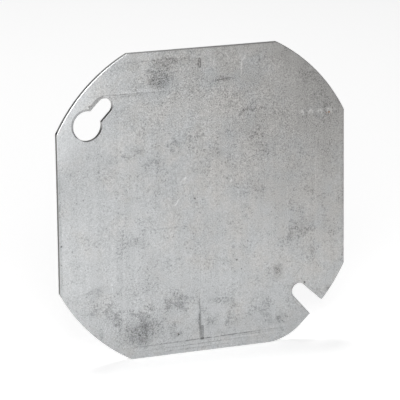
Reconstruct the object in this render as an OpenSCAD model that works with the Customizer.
// Blank cover plate for a 4 in octagon electrical box.
//
// One piece of galvanised sheet steel, blanked and pierced in a press. It
// stands upright here: the front face looks along -Y, +Z is up, and the
// origin is at the middle of the back face, halfway between the two screw
// seats. The plate hangs on the two screws of the box behind it. The first
// screw's head goes through the keyhole's entry and the plate is slid along
// the slot. The second screw's shank goes in through the open notch.

/* [Plate] */
// Distance across the flat sides
across_flats = 93.3; // [92.6:0.1:94.6]
// Diameter of the circle that the four corners lie on
corner_dia = 105; // [104:0.2:108]
// Thickness of the sheet
sheet = 1.6; // [1.2:0.1:2]
// Radius of the one round corner, between the lower side and the notch
round_corner_r = 17.3; // [15:0.1:19]
// Distance of the round corner's centre to the right of the centreline
round_corner_x = 20.1; // [19.5:0.1:21]

/* [Screw seats] */
// Distance between the centres of the two screw seats
screw_spacing = 88.9; // [88:0.1:90]
// Angle of the screw line, from the notch up to the keyhole
screw_line = 135; // [130:1:140]

/* [Keyhole] */
// Width of the slot that holds the screw's shank
slot_w = 4.9; // [4.5:0.1:5.3]
// Diameter of the entry that lets the screw's head through
entry_dia = 9; // [8.4:0.1:9.6]
// Distance from the screw seat to the centre of the entry
slot_travel = 7.8; // [7:0.1:8.4]

/* [Notch] */
// Width of the notch at its round end
notch_w = 4.8; // [4.4:0.1:5.2]
// Width of the notch at the rim
notch_mouth_w = 5.7; // [5.3:0.1:6.3]

/* [Press marks] */
// Width of the two pressed marks on the front face
mark_w = 1.2; // [0.8:0.1:1.6]
// Length of the upper mark
upper_mark_len = 3.2; // [2.4:0.2:4]
// Length of the lower mark
lower_mark_len = 4.8; // [4:0.2:5.6]
// Depth of both marks
mark_depth = 0.15; // [0.1:0.05:0.3]
// Distance of both marks to the left of the centreline
mark_shift = 1.1; // [0.5:0.1:1.5]
// Height of the upper mark's centre above the plate's centre
upper_mark_up = 42.2; // [41:0.1:43]
// Depth of the lower mark's centre below the plate's centre
lower_mark_down = 40.9; // [40:0.1:42]

/* [Hidden] */
$fn = 96;
corner_fn = 240;
galvanised = [0.73, 0.74, 0.74];
cut_margin = 1;
seat_r = screw_spacing / 2;
corner_r = corner_dia / 2;
slot_bearing = screw_line + 90;
seat_point = seat_r * [cos(screw_line), sin(screw_line)];
entry_point = seat_point + slot_travel * [cos(slot_bearing), sin(slot_bearing)];

round_centre = [round_corner_x, round_corner_r - across_flats / 2];
// Bearing of the straight line that touches both the round corner and the common circle
touch_bearing = atan2(round_centre.y, round_centre.x) + acos((corner_r - round_corner_r) / norm(round_centre));
touch = [cos(touch_bearing), sin(touch_bearing)];

// Four flat sides, with each corner cut back to one common circle, and the lower right one rounded
module outline() {
    difference() {
        intersection() {
            square(across_flats, center = true);
            circle(d = corner_dia, $fn = corner_fn);
        }
        translate(round_centre) sharp_corner();
    }
    translate(round_centre) circle(r = round_corner_r, $fn = corner_fn);
    polygon([[0, 0], round_centre, round_centre + round_corner_r * touch, corner_r * touch]);
}

// The sector that the round corner takes the place of
module sharp_corner() {
    reach = corner_r / 2;
    polygon([[0, 0], [0, -reach], [reach, -reach], reach * touch]);
}

// Narrow slot from the screw seat down to the entry
module keyhole_slot() {
    translate(seat_point)
    rotate(slot_bearing) {
        circle(d = slot_w);
        translate([0, -slot_w / 2]) square([slot_travel, slot_w]);
    }
}

module keyhole_entry() {
    translate(entry_point) circle(d = entry_dia);
}

// Notch with a round end, which widens evenly from the screw seat to the rim
module notch() {
    round_r = notch_w / 2;
    widening = (notch_mouth_w - notch_w) / (2 * (corner_r - seat_r));
    end_x = corner_r + cut_margin;
    end_r = round_r + widening * (end_x - seat_r);
    rotate(screw_line + 180) {
        translate([seat_r, 0]) circle(r = round_r);
        polygon([[seat_r, -round_r], [end_x, -end_r], [end_x, end_r], [seat_r, round_r]]);
    }
}

// Oblong mark with round ends, standing upright
module mark(length) {
    straight = length - mark_w;
    square([mark_w, straight], center = true);
    for (side = [-1, 1]) translate([0, side * straight / 2]) circle(d = mark_w);
}

module blank() {
    linear_extrude(sheet) difference() {
        outline();
        keyhole_slot();
        keyhole_entry();
        notch();
    }
}

module press_marks() {
    translate([0, 0, sheet - mark_depth]) linear_extrude(mark_depth + cut_margin) {
        translate([-mark_shift, upper_mark_up]) mark(upper_mark_len);
        translate([-mark_shift, -lower_mark_down]) mark(lower_mark_len);
    }
}

// Drawn lying on its back face, then stood up so that its front looks along -Y
module cover_plate() {
    color(galvanised) rotate([90, 0, 0]) difference() {
        blank();
        press_marks();
    }
}

cover_plate();
